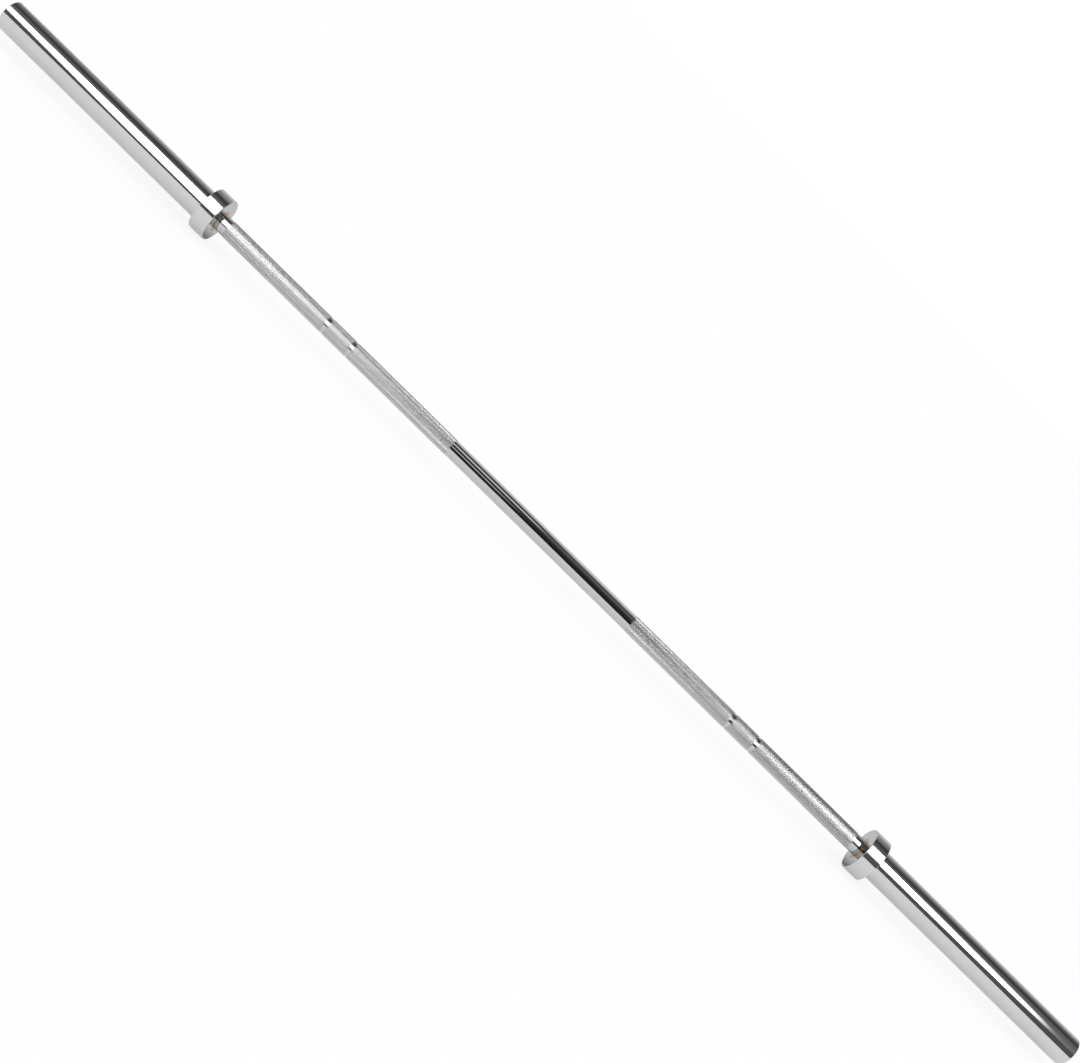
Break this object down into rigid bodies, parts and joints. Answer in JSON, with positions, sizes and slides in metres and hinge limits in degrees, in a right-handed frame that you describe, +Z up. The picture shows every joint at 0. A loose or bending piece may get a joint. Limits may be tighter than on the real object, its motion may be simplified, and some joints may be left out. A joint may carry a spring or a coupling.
{
  "type": "olympic barbell",
  "caption": "Chromed weightlifting bar with a knurled grip shaft and rotating sleeves that carry weight plates against thick collars.",
  "frame": {"origin": "middle of the bar, on its axis", "axes": "+X along the bar towards the right sleeve, +Z up"},
  "size_m": [2.184, 0.074, 0.074],
  "materials": {
    "shaft_chrome": "polished chrome plate, satin on the knurled grips",
    "sleeve_chrome": "polished chrome plate",
    "cap_chrome": "satin chrome plate",
    "bronze": "oiled sintered bronze",
    "washer_steel": "ground steel",
    "spring_steel": "phosphated spring steel"
  },
  "bodies": {
    "shaft": {"shaft": "shaft_chrome", "left_inner_thrust_washer": "washer_steel", "left_outer_thrust_washer": "washer_steel", "left_snap_ring": "spring_steel", "left_backup_ring": "spring_steel", "right_inner_thrust_washer": "washer_steel", "right_outer_thrust_washer": "washer_steel", "right_snap_ring": "spring_steel", "right_backup_ring": "spring_steel"},
    "left_sleeve": {"left_sleeve_tube": "sleeve_chrome", "left_collar": "sleeve_chrome", "left_inner_bush": "bronze", "left_outer_bush": "bronze", "left_end_cap": "cap_chrome", "left_end_cap_ring": "spring_steel"},
    "right_sleeve": {"right_sleeve_tube": "sleeve_chrome", "right_collar": "sleeve_chrome", "right_inner_bush": "bronze", "right_outer_bush": "bronze", "right_end_cap": "cap_chrome", "right_end_cap_ring": "spring_steel"}
  },
  "joints": [
    {"name": "left_sleeve_spin", "type": "hinge", "parent": "shaft", "child": "left_sleeve", "pos_m": [-0.8895, 0, 0], "axis": [1, 0, 0], "continuous": true},
    {"name": "right_sleeve_spin", "type": "hinge", "parent": "shaft", "child": "right_sleeve", "pos_m": [0.8895, 0, 0], "axis": [1, 0, 0], "continuous": true}
  ]
}
